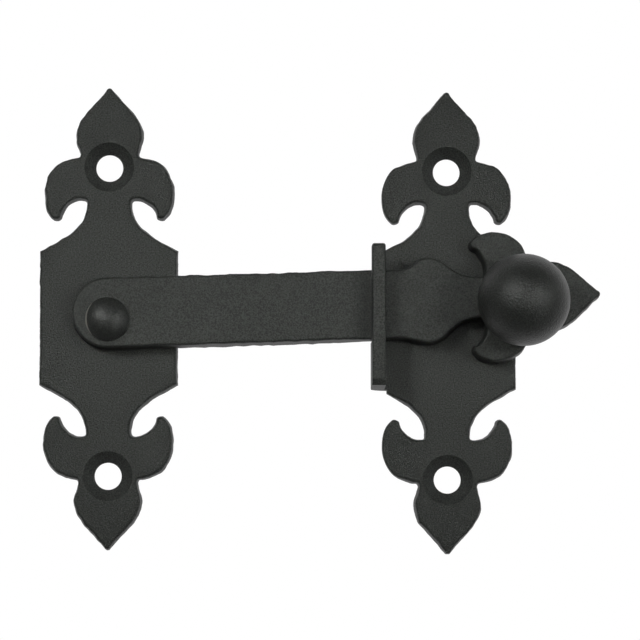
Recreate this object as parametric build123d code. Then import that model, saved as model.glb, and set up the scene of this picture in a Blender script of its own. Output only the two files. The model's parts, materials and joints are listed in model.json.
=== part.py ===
from build123d import *
import math
import os

os.makedirs("parts", exist_ok=True)

# Drop latch for a pair of shutters: two fleur-ended plates, a pivoting bar, its rivet and a ball knob.
# Millimetres. The plates stand in the XZ plane with their backs at Y = 0 and their fronts towards -Y.
# The origin is where the rivet's axis meets the pivot plate's back. +X runs along the bar, +Z is up.

# Plates
sheet = 3.0                  # plate thickness
plate_width = 30.8
plate_straight = 29.8        # straight side between the two fleur ends
flare_length = 10.6          # from the end of the straight side to the fleur's neck
plate_neck_width = 10.1
outline_rise = 0.8           # the outline's middle stands this far above the line of the drilled holes
plate_pitch = 75.1           # from the pivot plate's axis to the keeper plate's axis
keeper_drop = 0.8            # the keeper plate sits this much lower

# Screw holes
screw_spacing = 68.6
screw_hole = 6.0             # diameters
countersink = 11.0
countersink_angle = 90.0

# Fleur: heights run from its neck line towards the tip, widths across its axis
leaf_span = 29.0             # across both leaves
leaf_belly = 2.6             # height of the leaves' widest point
leaf_shoulder_inset = 2.6    # from the widest point in to the rounded top of a leaf
leaf_shoulder_rise = 6.0     # from the widest point up to the rounded top of a leaf
leaf_tip_inset = 3.1         # from the widest point in to the hanging tip
leaf_tip_drop = 6.2          # from the widest point down to the hanging tip of a plate's leaf
bar_leaf_tip_drop = 4.9      # the bar's leaves hang less
leaf_tip_width = 1.7
hollow_crown = 0.7           # height of the top of the hollow under a leaf
hollow_inset = 0.7           # from the neck out to the end of the hollow
waist_height = 11.3          # notch between leaf and petal
waist_depth = 0.9            # from the petal's widest point in to the notch
notch_length = 0.9
petal_width = 15.1
petal_belly = 3.8            # from the notch up to the petal's widest point
petal_taper = 10.9           # from the widest point up to the tip
edge_round = 0.55            # soft front edges under the coat
tip_round = 1.15 * edge_round  # half width of the petal's blunt tip

# Keeper: the plate's left edge folded forward and cut as a hook, open at the top
fold_offset = 17.05          # from the plate's axis to the outer face of the fold
fold_radius = 0.6            # inside the bend
finger_depth = 4.5           # front to back
finger_rise = 1.5            # the finger ends this far above the plate's straight side
foot_drop = 0.4              # the hook's lower end reaches this far below the straight side
foot_rise = 0.6              # how much that end rises from back to front
finger_clearance = 1.3       # between the bar's front and the finger
finger_round = 1.0           # corners of the finger's end
floor_round = 0.8            # inside corner of the hook
heel_length = 1.8            # sloped lower front corner of the hook
heel_depth = 1.0
rest_gap = 0.1               # between the bar's lower edge and the hook's floor
mouth_lip = 1.2              # the flat plate runs this far past the bend line behind the hook's mouth

# Bar
bar_width = 15.6
bar_thickness = 5.0
bar_gap = 0.2                # paint gap between the bar and the plates
bar_tilt = 1.78              # degrees, rising away from the rivet
rivet_drop = 1.5             # the rivet hole lies this far below the bar's middle
knob_drop = 0.9              # the knob hole lies this far below it
bulge_lead = 7.45            # from the hook's outer face to the start of the bulge
bulge_length = 5.3           # from there to the bulge's widest point
bulge_width = 19.0
bulge_rise = 0.6             # the bulge's axis lies this far above the bar's middle
taper_length = 12.0          # from the widest point to the neck of the bar's fleur
bar_neck_width = 9.2
fleur_rise = 0.95            # the fleur's axis lies this far above the bar's middle

# Pivot rivet
rivet_shank = 6.0            # diameters
rivet_head = 9.6
rivet_rim = 0.5              # straight part of the head's side
rivet_dome = 2.0             # height of the dome above the rim
rivet_clearance = 0.05       # radial, in the bar
head_gap = 0.1               # between the head and the bar
tail_flare = 1.0             # peened tail: how far it spreads and how deep it is set

# Ball knob
knob_lead = 8.0              # from the neck of the bar's fleur to the knob's axis
ball = 20.0                  # diameter
ball_height = 11.6           # ball centre above the bar's front
knob_neck = 8.4              # diameters
knob_tenon = 6.0
knob_cove = 1.0              # hollow rounding between neck and ball

bar_back = sheet + bar_gap
bar_front = bar_back + bar_thickness
finger_back = bar_front + finger_clearance
hook_front = finger_back + finger_depth
bar_straight = plate_pitch - fold_offset + bulge_lead
bulge_crest = bar_straight + bulge_length
bar_neck = bulge_crest + taper_length
knob_reach = bar_neck + knob_lead


def fleur_half(neck_half, tip_drop):
    """Right half of a fleur outline, from the tip (0, top) to the neck (neck_half, 0)."""
    leaf_half = leaf_span / 2
    petal_half = petal_width / 2
    waist_half = petal_half - waist_depth
    petal_height = waist_height + petal_belly
    tip = (0, petal_height + petal_taper)
    tip_side = (tip_round, tip[1] - tip_round / 2)
    petal_side = (petal_half, petal_height)
    waist = (waist_half, waist_height)
    leaf_root = (waist_half + notch_length / 2, waist_height - notch_length)
    leaf_top = (leaf_half - leaf_shoulder_inset, leaf_belly + leaf_shoulder_rise)
    leaf_side = (leaf_half, leaf_belly)
    tip_outer = (leaf_half - leaf_tip_inset + leaf_tip_width / 2, leaf_belly - tip_drop)
    tip_inner = (tip_outer[0] - leaf_tip_width, tip_outer[1] + leaf_tip_width / 3)
    hollow_end = (neck_half + hollow_inset, hollow_crown)
    hollow_depth = hollow_crown - tip_inner[1]
    hollow_width = tip_inner[0] - hollow_end[0]
    neck = (neck_half, 0)
    blunt_tip = Spline(tip, tip_side, tangents=[(1, 0), (0.62, -0.78)])
    petal = Spline(tip_side, petal_side, waist, tangents=[(0.62, -0.78), (0, -1), (-0.25, -1)])
    notch = Spline(waist, leaf_root, tangents=[(-0.25, -1), (1, -0.15)])
    leaf = Spline(
        leaf_root, leaf_top, leaf_side, tip_outer,
        tangents=[(1, -0.15), (0.75, -0.66), (0, -1), (-0.8, -0.6)],
    )
    leaf_tip = Spline(tip_outer, tip_inner, tangents=[(-0.8, -0.6), (-0.15, 1)])
    hollow = Bezier(
        tip_inner,
        (tip_inner[0] - 0.08 * hollow_depth, tip_inner[1] + 0.55 * hollow_depth),
        (hollow_end[0] + 0.45 * hollow_width, hollow_end[1] + 0.05 * hollow_depth),
        hollow_end,
    )
    hollow_cap = Spline(hollow_end, neck, tangents=[(-1, -0.1), (0, -1)])
    return [blunt_tip, petal, notch, leaf, leaf_tip, hollow, hollow_cap]


def plate_quarter():
    """Upper right quarter of a plate's outline about its own middle, down to half the straight side."""
    half_width = plate_width / 2
    shoulder = plate_straight / 2
    neck_half = plate_neck_width / 2
    neck_line = shoulder + flare_length
    flare = Bezier(
        (neck_half, neck_line),
        (neck_half, shoulder + flare_length / 2),
        (half_width * 0.61, shoulder + flare_length * 0.32),
        (half_width, shoulder),
    )
    side = Line((half_width, shoulder), (half_width, 0))
    fleur = fleur_half(neck_half, leaf_tip_drop)
    return [Pos(0, neck_line) * edge for edge in fleur] + [flare, side]


def soften_front(body):
    """Round the outline of the body's front face."""
    front = body.faces().sort_by(Axis.Y)[0]
    return fillet(front.outer_wire().edges(), edge_round)


def plate():
    """Flat plate with a fleur at each end and two countersunk holes, about its line of holes."""
    right = plate_quarter()
    upper = right + [edge.mirror(Plane.YZ) for edge in right]
    outline = make_face(upper + [edge.mirror(Plane.XZ) for edge in upper])
    body = soften_front(extrude(Plane.XZ * Pos(0, outline_rise) * outline, sheet))
    for side in (-1, 1):
        body -= Plane.XZ.offset(sheet) * Pos(0, side * screw_spacing / 2) * CounterSinkHole(
            screw_hole / 2, countersink / 2, sheet, countersink_angle)
    return body


from_base = (Align.CENTER, Align.CENTER, Align.MIN)


def peened_pin(radius, length):
    """Pin along +Z from the plane's origin, with its near end spread into a cone."""
    tail = Cone(radius + tail_flare, radius, tail_flare, align=from_base)
    return tail + Cylinder(radius, length, align=from_base)


# Pivot plate
rivet_pin = peened_pin(rivet_shank / 2, bar_front + head_gap)
pivot_plate = plate() - Plane.XZ * rivet_pin

# Latch bar: drawn with the rivet at the origin and its length along +X, then tilted
bar_half = bar_width / 2
bar_middle = rivet_drop
bulge_axis = bar_middle + bulge_rise
fleur_axis = bar_middle + fleur_rise


def bar_side(sign):
    """Upper (+1) or lower (-1) edge of the bar, from its rounded end to the fleur's tip."""
    edge_height = bar_middle + sign * bar_half
    straight = Line((0, edge_height), (bar_straight, edge_height))
    bulge = Spline(
        (bar_straight, edge_height),
        (bulge_crest, bulge_axis + sign * bulge_width / 2),
        (bar_neck, fleur_axis + sign * bar_neck_width / 2),
        tangents=[(1, sign * 0.2), (1, 0), (1, 0)],
    )
    head = fleur_half(bar_neck_width / 2, bar_leaf_tip_drop)
    if sign > 0:
        head = [edge.mirror(Plane.YZ) for edge in head]
    return [straight, bulge] + [Pos(bar_neck, fleur_axis) * Rot(0, 0, -90) * edge for edge in head]


round_end = ThreePointArc((0, bar_middle + bar_half), (-bar_half, bar_middle), (0, bar_middle - bar_half))
bar_outline = make_face(bar_side(1) + bar_side(-1) + [round_end])
bar_plane = Plane.XZ.offset(bar_back) * Rot(0, 0, bar_tilt)
bar_seat = Plane.XZ.offset(bar_front)
latch_bar = soften_front(extrude(bar_plane * bar_outline, bar_thickness))
latch_bar -= bar_seat * Cylinder(rivet_shank / 2 + rivet_clearance, 3 * bar_thickness)
knob_place = bar_plane * Pos(knob_reach, bar_middle - knob_drop)
knob_pin = peened_pin(knob_tenon / 2, bar_thickness)
latch_bar -= knob_place * knob_pin

# Keeper plate, about its own line of holes: the folded edge, then the hook's side shape
fold_inner = fold_offset - sheet
flat_end = fold_inner - fold_radius
bend_depth = sheet + fold_radius
fold_lap = sheet / 2
hook_bottom = outline_rise - plate_straight / 2 - foot_drop
hook_top = outline_rise + plate_straight / 2 + finger_rise

fold_section = make_face([
    Line((fold_lap - flat_end, -sheet), (fold_lap - flat_end, 0)),
    Line((fold_lap - flat_end, 0), (-flat_end, 0)),
    CenterArc((-flat_end, -bend_depth), bend_depth, 90, 90),
    Line((-fold_offset, -bend_depth), (-fold_offset, -hook_front)),
    Line((-fold_offset, -hook_front), (-fold_inner, -hook_front)),
    Line((-fold_inner, -hook_front), (-fold_inner, -bend_depth)),
    CenterArc((-flat_end, -bend_depth), fold_radius, 180, -90),
    Line((-flat_end, -sheet), (fold_lap - flat_end, -sheet)),
])
fold = extrude(Plane.XY.offset(hook_bottom) * fold_section, hook_top - hook_bottom)

hook_reach = plate_pitch - fold_offset
bar_low_edge = hook_reach * math.tan(math.radians(bar_tilt))
bar_low_edge += (bar_middle - bar_half) / math.cos(math.radians(bar_tilt))
hook_floor = bar_low_edge - rest_gap + keeper_drop

hook_side = make_face(Polyline(
    (0, hook_bottom),
    (-(hook_front - heel_depth), hook_bottom + foot_rise),
    (-hook_front, hook_bottom + foot_rise + heel_length),
    (-hook_front, hook_top),
    (-finger_back, hook_top),
    (-finger_back, hook_floor),
    (0, hook_floor),
    close=True,
))
finger_corners = hook_side.vertices().group_by(Axis.Y)[-1]
hook_side = fillet(finger_corners, finger_round)
floor_corner = hook_side.vertices().sort_by_distance((-finger_back, hook_floor))[0]
hook_side = fillet(floor_corner, floor_round)
hook = fold & extrude(Plane.YZ.offset(-fold_offset) * hook_side, fold_offset)
hook = fillet(hook.faces().sort_by(Axis.Y)[0].edges().filter_by(Axis.Z), edge_round)

cut_half = plate_straight / 2 + flare_length / 3
leg_cut = Pos(-flat_end, hook_floor) * Rectangle(plate_width, 2 * plate_straight, align=Align.MAX)
mouth_cut = Pos(-flat_end - mouth_lip, outline_rise) * Rectangle(
    plate_width, 2 * cut_half, align=(Align.MAX, Align.CENTER))
low_band = Pos(0, outline_rise - cut_half) * Rectangle(
    2 * plate_width, 2 * plate_straight, align=(Align.CENTER, Align.MIN))
flat_part = plate() - extrude(Plane.XZ * (mouth_cut + (leg_cut & low_band)), 2 * sheet, both=True)
keeper_plate = Pos(plate_pitch, 0, -keeper_drop) * (flat_part + hook)

# Pivot rivet: tail set flush in the plate's back, domed head over the bar
head_radius = rivet_head / 2
dome_radius = (head_radius**2 + rivet_dome**2) / (2 * rivet_dome)
head_height = rivet_rim + rivet_dome
dome_ball = Pos(0, 0, head_height - dome_radius) * Sphere(dome_radius)
rivet_cap = Cylinder(head_radius, head_height, align=from_base) & dome_ball
pivot_rivet = Plane.XZ * (rivet_pin + Pos(0, 0, bar_front + head_gap) * rivet_cap)

# Ball knob: tenon set flush in the bar's back, short neck, ball
knob_stem = Pos(0, 0, bar_thickness) * Cylinder(knob_neck / 2, ball_height, align=from_base)
knob = knob_stem + Pos(0, 0, bar_thickness + ball_height) * Sphere(ball / 2)
circles = knob.edges().filter_by(GeomType.CIRCLE)
neck_circles = circles.filter_by(lambda edge: math.isclose(edge.radius, knob_neck / 2))
knob = fillet(neck_circles.sort_by(Axis.Z)[-1], knob_cove)
ball_knob = knob_place * (knob + knob_pin)

nodes = {
    "pivot_plate": pivot_plate,
    "keeper_plate": keeper_plate,
    "latch_bar": latch_bar,
    "pivot_rivet": pivot_rivet,
    "ball_knob": ball_knob,
}
for name, node in nodes.items():
    export_step(node, f"parts/{name}.step")
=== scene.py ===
import json
import math

import bmesh
import bpy
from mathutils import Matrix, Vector, kdtree, noise


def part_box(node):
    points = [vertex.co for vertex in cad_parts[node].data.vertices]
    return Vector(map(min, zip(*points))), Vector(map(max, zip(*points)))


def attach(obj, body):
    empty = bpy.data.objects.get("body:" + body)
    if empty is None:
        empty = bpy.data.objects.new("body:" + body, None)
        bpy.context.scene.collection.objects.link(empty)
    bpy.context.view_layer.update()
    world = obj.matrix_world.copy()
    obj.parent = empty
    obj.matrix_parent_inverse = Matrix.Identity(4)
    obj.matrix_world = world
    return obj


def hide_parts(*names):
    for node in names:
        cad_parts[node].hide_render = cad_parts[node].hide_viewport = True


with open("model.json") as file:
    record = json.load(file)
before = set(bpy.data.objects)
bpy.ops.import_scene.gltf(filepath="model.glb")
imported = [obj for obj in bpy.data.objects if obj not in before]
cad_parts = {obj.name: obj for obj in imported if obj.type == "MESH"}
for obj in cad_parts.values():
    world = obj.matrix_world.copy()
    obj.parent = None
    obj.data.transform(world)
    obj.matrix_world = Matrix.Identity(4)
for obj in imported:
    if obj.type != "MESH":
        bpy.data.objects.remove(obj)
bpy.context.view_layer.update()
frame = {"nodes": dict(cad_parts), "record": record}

# Looks of the shutter latch: hand-cut steel under a fine-grained black powder coat, on white.
# Metres, in the part's own frame: plates in the XZ plane, fronts towards -Y, rivet axis at x = z = 0.
MM = 0.001

# Camera: where it looks, from where and with what lens
LOOK_AT = Vector((46.85 * MM, -3.0 * MM, 0.27 * MM))
VIEW_AZIMUTH = -1.0           # degrees, from the front towards the right
VIEW_ELEVATION = -4.4         # degrees, from just below
VIEW_DISTANCE = 666.0 * MM
SENSOR_WIDTH = 36.0           # millimetres, as Blender counts it
FOCAL_SHARE = 3005.0 / 640.0  # focal length over picture width
CLIP_START = 10.0 * MM

# Hand-cut outlines: how far they wander and lean, and where they stay true
WANDER = 0.17 * MM
WANDER_LENGTH = 2.4 * MM
WANDER_OFFSET = Vector((0.0, 17.5, 0.0))  # so that the two directions wander apart
FINE_WANDER = 0.5             # the fine wander, as a share of the coarse one
FINE_LENGTH = 0.4 * WANDER_LENGTH
LEAN = 0.40 * MM              # the front outline lies this far inside the back one
LEAN_CHANGE = 0.6             # share by which the lean grows and shrinks along an edge
LEAN_REACH = 3.0 * MM         # the lean fades out over this width
CORNER = 1.2 * MM             # ways out of the sheet are averaged over this radius
TRUE_RADIUS = 5.4 * MM        # true up to here about each drilled hole
TRUE_FADE = 1.2 * MM
HOOK_FADE = 3.0 * MM          # true up to here on each side of the hook's middle, free at twice that

# Meshes: what counts as one point, a flat face, a wall and a crisp edge
WELD = 0.002 * MM
LEVEL = 0.01 * MM             # points this close to the back belong to it
FLAT_ANGLE = 0.2              # degrees between faces that count as one flat face
SHARP_ANGLE = 32.0            # degrees between faces that meet in a crisp edge
WALL_NORMAL = 0.3             # share of depth in a wall's normal, at most
OUTLINE_STEP = 0.6 * MM       # longest step along an outline that isn't true
HALVINGS = 8                  # of one long edge, at most

# Powder coat
# COAT is the black powder coat of the knob and rivet; the plates and the bar take a lighter copy of the
# same coat, which is painted light that brightens their flat faces.
COAT = (0.0125, 0.0138, 0.0122)
FLAT_COAT_PAINTED_LIGHTER = (0.0200, 0.0219, 0.0196)
GRAIN_SIZE = 0.30 * MM
CLOUD_SIZE = 7.0 * MM
NOISE_LOW = 0.3               # nearly all of a noise texture lies between these two
NOISE_HIGH = 0.7
ROUGHNESS_CHANGE = 0.03
# Pale bare steel of the rivet's left rim: partly wear, partly a painted highlight.
BARE_STEEL_AND_GLINT = (0.29, 0.28, 0.255)
BARE_METALLIC = 0.6

# Light: colour of the lamps, where the narrow ones point, and strengths of the room
LAMP_COLOUR = (0.975, 1.0, 0.96)
BEAM_TARGET = Vector((60.0 * MM, -3.0 * MM, 3.0 * MM))
GROUND = 1.0                  # white, as the camera sees it
ROOM_FRONT = 0.11             # in front of the object
ROOM_BACK = 0.95              # behind it
ROOM_TURN = (-0.1, 0.6)       # between these shares of +Y, one passes into the other
WHITE = (1.0, 1.0, 1.0, 1.0)


def direction(azimuth, elevation):
    """Unit vector from the object towards azimuth (0 = front, + = right) and elevation, in degrees."""
    a = math.radians(azimuth)
    e = math.radians(elevation)
    return Vector((math.sin(a) * math.cos(e), -math.cos(a) * math.cos(e), math.sin(e)))


def aim(obj, place, target):
    """Put obj at place, with its -Z axis towards target and its Y axis up."""
    obj.location = place
    obj.rotation_euler = (target - place).to_track_quat("-Z", "Y").to_euler()


def make_camera():
    data = bpy.data.cameras.new("camera")
    data.sensor_width = SENSOR_WIDTH
    data.lens = SENSOR_WIDTH * FOCAL_SHARE
    data.clip_start = CLIP_START
    camera = bpy.data.objects.new("camera", data)
    bpy.context.collection.objects.link(camera)
    aim(camera, LOOK_AT + direction(VIEW_AZIMUTH, VIEW_ELEVATION) * VIEW_DISTANCE, LOOK_AT)
    bpy.context.scene.camera = camera


# Places that stay true
def box_middle(node):
    low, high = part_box(node)
    return [(a + b) / 2 for a, b in zip(low, high)]


def drilled_centres():
    """Places (x, z) of the drilled holes: the rivet's, the knob's and the four screws'."""
    knob = box_middle("ball_knob")
    centres = [(0.0, 0.0), (knob[0], knob[2])]
    for mount in frame["record"]["mounts"]:
        if mount["kind"] == "bolt_pattern":
            x, _, z = mount["pos_m"]
            half = mount["dims"]["spacing_y_mm"] / 2 * MM
            centres += [(x, z + half), (x, z - half)]
    return centres


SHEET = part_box("pivot_plate")[1][1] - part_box("pivot_plate")[0][1]
HOOK_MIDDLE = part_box("keeper_plate")[0][0] + SHEET / 2
HOLES = drilled_centres()


def fade(value, start, length):
    """0 below start, 1 above start + length, smooth between."""
    share = min(max((value - start) / length, 0.0), 1.0)
    return share * share * (3.0 - 2.0 * share)


def off_holes(point):
    """0 at the drilled holes, 1 away from them."""
    weight = 1.0
    for x, z in HOLES:
        weight *= fade(math.hypot(point.x - x, point.z - z), TRUE_RADIUS, TRUE_FADE)
    return weight


def off_hook(point):
    """0 at the hook, 1 away from it."""
    return fade(abs(point.x - HOOK_MIDDLE), HOOK_FADE, HOOK_FADE)


# Meshes: each piece is a copy of its solid, and the cut ones are moved along their edges
def outline_points(shape, back):
    """Search tree of the outer outline at the back of the sheet, and each point's way out."""
    rows = []
    for vert in shape.verts:
        walls = [face.normal for face in vert.link_faces if abs(face.normal.y) < WALL_NORMAL]
        if abs(vert.co.y - back) < LEVEL and walls and off_holes(vert.co) > 0.0:
            out = sum(walls, Vector())
            out.y = 0.0
            rows.append((Vector((vert.co.x, 0.0, vert.co.z)), out.normalized()))
    tree = kdtree.KDTree(len(rows))
    for index, (place, _) in enumerate(rows):
        tree.insert(place, index)
    tree.balance()
    ways = []
    for place, _ in rows:
        near = [rows[index][1] for _, index, _ in tree.find_range(place, CORNER)]
        ways.append(sum(near, Vector()) / len(near))
    return tree, ways


def wander(place):
    """In-plane vector that changes smoothly with the place."""
    return Vector((noise.noise(place), 0.0, noise.noise(place + WANDER_OFFSET)))


def turned_back(value, low, high):
    """The value, mirrored back inside where it would leave the range."""
    if value < low:
        return 2.0 * low - value
    return 2.0 * high - value if value > high else value


def hand_cut(shape, node, true_depth):
    """Lean the cut edges about a share of the depth and let them wander, inside the node's box."""
    low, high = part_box(node)
    back = high[1]
    thickness = SHEET if node == "keeper_plate" else back - low[1]
    tree, ways = outline_points(shape, back)
    for vert in shape.verts:
        point = vert.co
        weight = off_holes(point)
        flat = Vector((point.x, 0.0, point.z))
        depth = min(max((back - point.y) / thickness, 0.0), 1.0)
        _, index, distance = tree.find(flat)
        lean = LEAN * (depth - true_depth) * weight * (1.0 - fade(distance, 0.0, LEAN_REACH))
        lean *= 1.0 + LEAN_CHANGE * noise.noise(flat / WANDER_LENGTH)
        if node == "keeper_plate" or depth < true_depth:
            lean *= off_hook(point)
        shift = wander(flat / WANDER_LENGTH) + FINE_WANDER * wander(flat / FINE_LENGTH)
        shift *= WANDER * weight * off_hook(point)
        shift -= ways[index] * lean
        point.x = turned_back(point.x + shift.x, low[0], high[0])
        point.z = turned_back(point.z + shift.z, low[2], high[2])


def divide_outline(shape):
    """Join coplanar faces, then divide the long edges between other faces, where they can wander."""
    flat = math.radians(FLAT_ANGLE)
    bmesh.ops.dissolve_limit(shape, angle_limit=flat, verts=shape.verts, edges=shape.edges)
    for _ in range(HALVINGS):
        long_edges = [edge for edge in shape.edges
                      if edge.calc_length() > OUTLINE_STEP and edge.calc_face_angle(0.0) > flat
                      and max(off_holes(vert.co) * off_hook(vert.co) for vert in edge.verts) > 0.0]
        if not long_edges:
            break
        bmesh.ops.subdivide_edges(shape, edges=long_edges, cuts=1)


def fine_copy(node, name, true_depth):
    """New object with the node's mesh, hand-cut where true_depth is given, crisp edges marked."""
    shape = bmesh.new()
    shape.from_mesh(frame["nodes"][node].data)
    bmesh.ops.remove_doubles(shape, verts=shape.verts, dist=WELD)
    bmesh.ops.recalc_face_normals(shape, faces=shape.faces)
    if true_depth is not None:
        divide_outline(shape)
        hand_cut(shape, node, true_depth)
    bmesh.ops.triangulate(shape, faces=shape.faces)
    for face in shape.faces:
        face.smooth = True
    for edge in shape.edges:
        edge.smooth = edge.calc_face_angle(math.pi) < math.radians(SHARP_ANGLE)
    mesh = bpy.data.meshes.new(name)
    shape.to_mesh(mesh)
    shape.free()
    piece = bpy.data.objects.new(name, mesh)
    bpy.context.collection.objects.link(piece)
    weighted = piece.modifiers.new("flat_faces", "WEIGHTED_NORMAL")
    weighted.keep_sharp = True
    return piece


# Materials
def powder_coat(name, colour, gloss, roughness, grain_depth, peel_size, peel_depth, tone):
    """Black powder coat: fine grain and softer orange peel in bump; tone is the grain's contrast."""
    material = bpy.data.materials.new(name)
    material.use_nodes = True
    nodes = material.node_tree.nodes
    links = material.node_tree.links
    shader = nodes["Principled BSDF"]
    place = nodes.new("ShaderNodeTexCoord").outputs["Object"]

    def noise_at(size, detail):
        texture = nodes.new("ShaderNodeTexNoise")
        texture.inputs["Scale"].default_value = 1.0 / size
        texture.inputs["Detail"].default_value = detail
        links.new(place, texture.inputs["Vector"])
        return texture.outputs["Fac"]

    def spread(value, low, high):
        ramp = nodes.new("ShaderNodeMapRange")
        ramp.inputs["From Min"].default_value = NOISE_LOW
        ramp.inputs["From Max"].default_value = NOISE_HIGH
        ramp.inputs["To Min"].default_value = low
        ramp.inputs["To Max"].default_value = high
        links.new(value, ramp.inputs["Value"])
        return ramp.outputs["Result"]

    grain = noise_at(GRAIN_SIZE, detail=2.0)
    cloud = noise_at(CLOUD_SIZE, detail=2.0)
    tint = nodes.new("ShaderNodeVectorMath")
    tint.operation = "SCALE"
    tint.inputs[0].default_value = colour
    links.new(spread(grain, 1.0 - tone, 1.0 + tone), tint.inputs["Scale"])
    links.new(tint.outputs[0], shader.inputs["Base Color"])
    rough = spread(cloud, roughness - ROUGHNESS_CHANGE, roughness + ROUGHNESS_CHANGE)
    links.new(rough, shader.inputs["Roughness"])
    sheen = spread(grain, gloss * (1.0 - tone), gloss * (1.0 + tone))
    links.new(sheen, shader.inputs["Specular IOR Level"])

    peel = nodes.new("ShaderNodeBump")
    peel.inputs["Distance"].default_value = peel_depth
    links.new(noise_at(peel_size, detail=1.0), peel.inputs["Height"])
    fine = nodes.new("ShaderNodeBump")
    fine.inputs["Distance"].default_value = grain_depth
    links.new(grain, fine.inputs["Height"])
    links.new(peel.outputs["Normal"], fine.inputs["Normal"])
    links.new(fine.outputs["Normal"], shader.inputs["Normal"])
    return material


def worn_and_glint_crescent(material, shift, radius, soft):
    """Wear the coat off outside a circle that is shifted to the right of the rivet's axis: a pale
    crescent of bare steel on the left rim only, partly wear and partly a painted highlight where the rim
    catches the upper-left lamp.
    """
    nodes = material.node_tree.nodes
    links = material.node_tree.links
    coat = nodes["Principled BSDF"]
    place = nodes.new("ShaderNodeTexCoord").outputs["Object"]
    offset = nodes.new("ShaderNodeVectorMath")
    offset.operation = "MULTIPLY_ADD"
    offset.inputs[1].default_value = (1.0, 0.0, 1.0)
    offset.inputs[2].default_value = (-shift, 0.0, 0.0)
    links.new(place, offset.inputs[0])
    reach = nodes.new("ShaderNodeVectorMath")
    reach.operation = "LENGTH"
    links.new(offset.outputs["Vector"], reach.inputs[0])
    mask = nodes.new("ShaderNodeMapRange")
    mask.inputs["From Min"].default_value = radius - soft
    mask.inputs["From Max"].default_value = radius + soft
    links.new(reach.outputs["Value"], mask.inputs["Value"])

    # A colour blend has its two colours in sockets 6 and 7, and its result in output 2
    blend = nodes.new("ShaderNodeMix")
    blend.data_type = "RGBA"
    blend.inputs[7].default_value = (*BARE_STEEL_AND_GLINT, 1.0)
    links.new(mask.outputs["Result"], blend.inputs[0])
    links.new(coat.inputs["Base Color"].links[0].from_socket, blend.inputs[6])
    links.new(blend.outputs[2], coat.inputs["Base Color"])
    metal = nodes.new("ShaderNodeMath")
    metal.operation = "MULTIPLY"
    metal.inputs[1].default_value = BARE_METALLIC
    links.new(mask.outputs["Result"], metal.inputs[0])
    links.new(metal.outputs[0], coat.inputs["Metallic"])


# The plates and the bar wear the lighter copy of the coat: painted light on their flat faces.
plate_coat_painted_lighter = powder_coat("plate_coat_painted_lighter", FLAT_COAT_PAINTED_LIGHTER, gloss=0.5, roughness=0.58, grain_depth=0.06 * MM,
                         peel_size=0.9 * MM, peel_depth=0.02 * MM, tone=0.45)
bar_coat_painted_lighter = powder_coat("bar_coat_painted_lighter", FLAT_COAT_PAINTED_LIGHTER, gloss=0.5, roughness=0.58, grain_depth=0.03 * MM,
                       peel_size=0.9 * MM, peel_depth=0.02 * MM, tone=0.35)
knob_coat = powder_coat("knob_coat", COAT, gloss=0.57, roughness=0.46, grain_depth=0.03 * MM,
                        peel_size=0.42 * MM, peel_depth=0.12 * MM, tone=0.25)
rivet_coat = powder_coat("rivet_coat", COAT, gloss=0.57, roughness=0.46, grain_depth=0.03 * MM,
                         peel_size=0.42 * MM, peel_depth=0.08 * MM, tone=0.25)
# Crescent on the rivet's left rim: bare steel from wear, and a painted highlight on the side the
# upper-left lamp lights.
worn_and_glint_crescent(rivet_coat, shift=1.25 * MM, radius=5.7 * MM, soft=0.05 * MM)

# Body, slot, material, and for hand-cut pieces the share of the depth at which the outline stays true
PIECES = {
    "pivot_plate": ("plates", "coated_plate", plate_coat_painted_lighter, 0.0),
    "keeper_plate": ("plates", "coated_plate", plate_coat_painted_lighter, 0.0),
    "latch_bar": ("bar", "coated_bar", bar_coat_painted_lighter, 0.5),
    "pivot_rivet": ("plates", "coated_rivet", rivet_coat, None),
    "ball_knob": ("bar", "coated_knob", knob_coat, None),
}
for node, (body, slot, material, true_depth) in PIECES.items():
    piece = fine_copy(node, node + "_coated", true_depth)
    piece.data.materials.append(material)
    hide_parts(node)
    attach(piece, body)


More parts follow.
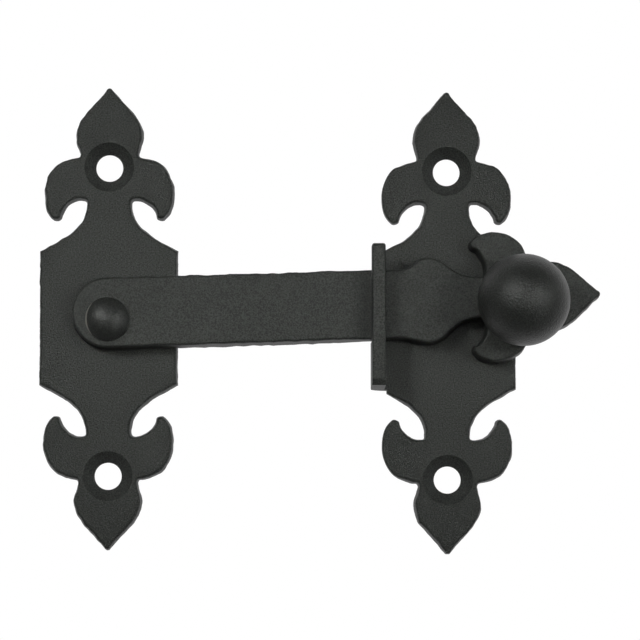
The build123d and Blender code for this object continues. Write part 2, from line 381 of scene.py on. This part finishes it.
# Light
def make_softbox(name, azimuth, elevation, distance, width, height, power, spread=180.0, target=LOOK_AT):
    """Soft lamp aimed at target; a narrow spread (degrees) keeps its beam about that place."""
    data = bpy.data.lights.new(name, "AREA")
    data.shape = "ELLIPSE"
    data.size = width
    data.size_y = height
    data.energy = power
    data.spread = math.radians(spread)
    data.color = LAMP_COLOUR
    lamp = bpy.data.objects.new(name, data)
    bpy.context.collection.objects.link(lamp)
    aim(lamp, target + direction(azimuth, elevation) * distance, target)


def make_world():
    """White for the camera; for other rays white behind the object and dim in front of it."""
    world = bpy.data.worlds.new("white_ground")
    bpy.context.scene.world = world
    world.use_nodes = True
    nodes = world.node_tree.nodes
    links = world.node_tree.links
    nodes.clear()
    path = nodes.new("ShaderNodeLightPath")
    place = nodes.new("ShaderNodeTexCoord")
    split = nodes.new("ShaderNodeSeparateXYZ")
    links.new(place.outputs["Generated"], split.inputs[0])
    depth = nodes.new("ShaderNodeMapRange")
    depth.interpolation_type = "SMOOTHSTEP"
    depth.inputs["From Min"].default_value = ROOM_TURN[0]
    depth.inputs["From Max"].default_value = ROOM_TURN[1]
    depth.inputs["To Min"].default_value = ROOM_FRONT
    depth.inputs["To Max"].default_value = ROOM_BACK
    links.new(split.outputs["Y"], depth.inputs["Value"])
    ground = nodes.new("ShaderNodeBackground")
    ground.inputs["Color"].default_value = WHITE
    ground.inputs["Strength"].default_value = GROUND
    room = nodes.new("ShaderNodeBackground")
    room.inputs["Color"].default_value = WHITE
    links.new(depth.outputs["Result"], room.inputs["Strength"])
    mix = nodes.new("ShaderNodeMixShader")
    out = nodes.new("ShaderNodeOutputWorld")
    links.new(path.outputs["Is Camera Ray"], mix.inputs["Fac"])
    links.new(room.outputs[0], mix.inputs[1])
    links.new(ground.outputs[0], mix.inputs[2])
    links.new(mix.outputs[0], out.inputs["Surface"])


make_camera()
make_softbox("key", azimuth=-31.0, elevation=19.5, distance=0.8, width=0.2, height=0.2, power=2.2)
make_softbox("fill", azimuth=46.0, elevation=3.0, distance=0.8, width=0.7, height=0.6, power=1.35)
make_softbox("strip", azimuth=30.0, elevation=3.0, distance=0.7, width=0.6, height=0.08, power=0.021,
             spread=12.0, target=BEAM_TARGET)
make_softbox("front", azimuth=-3.0, elevation=10.0, distance=0.8, width=0.3, height=0.08, power=0.0085,
             spread=10.0, target=BEAM_TARGET)
make_world()
bpy.context.scene.view_settings.view_transform = "Standard"
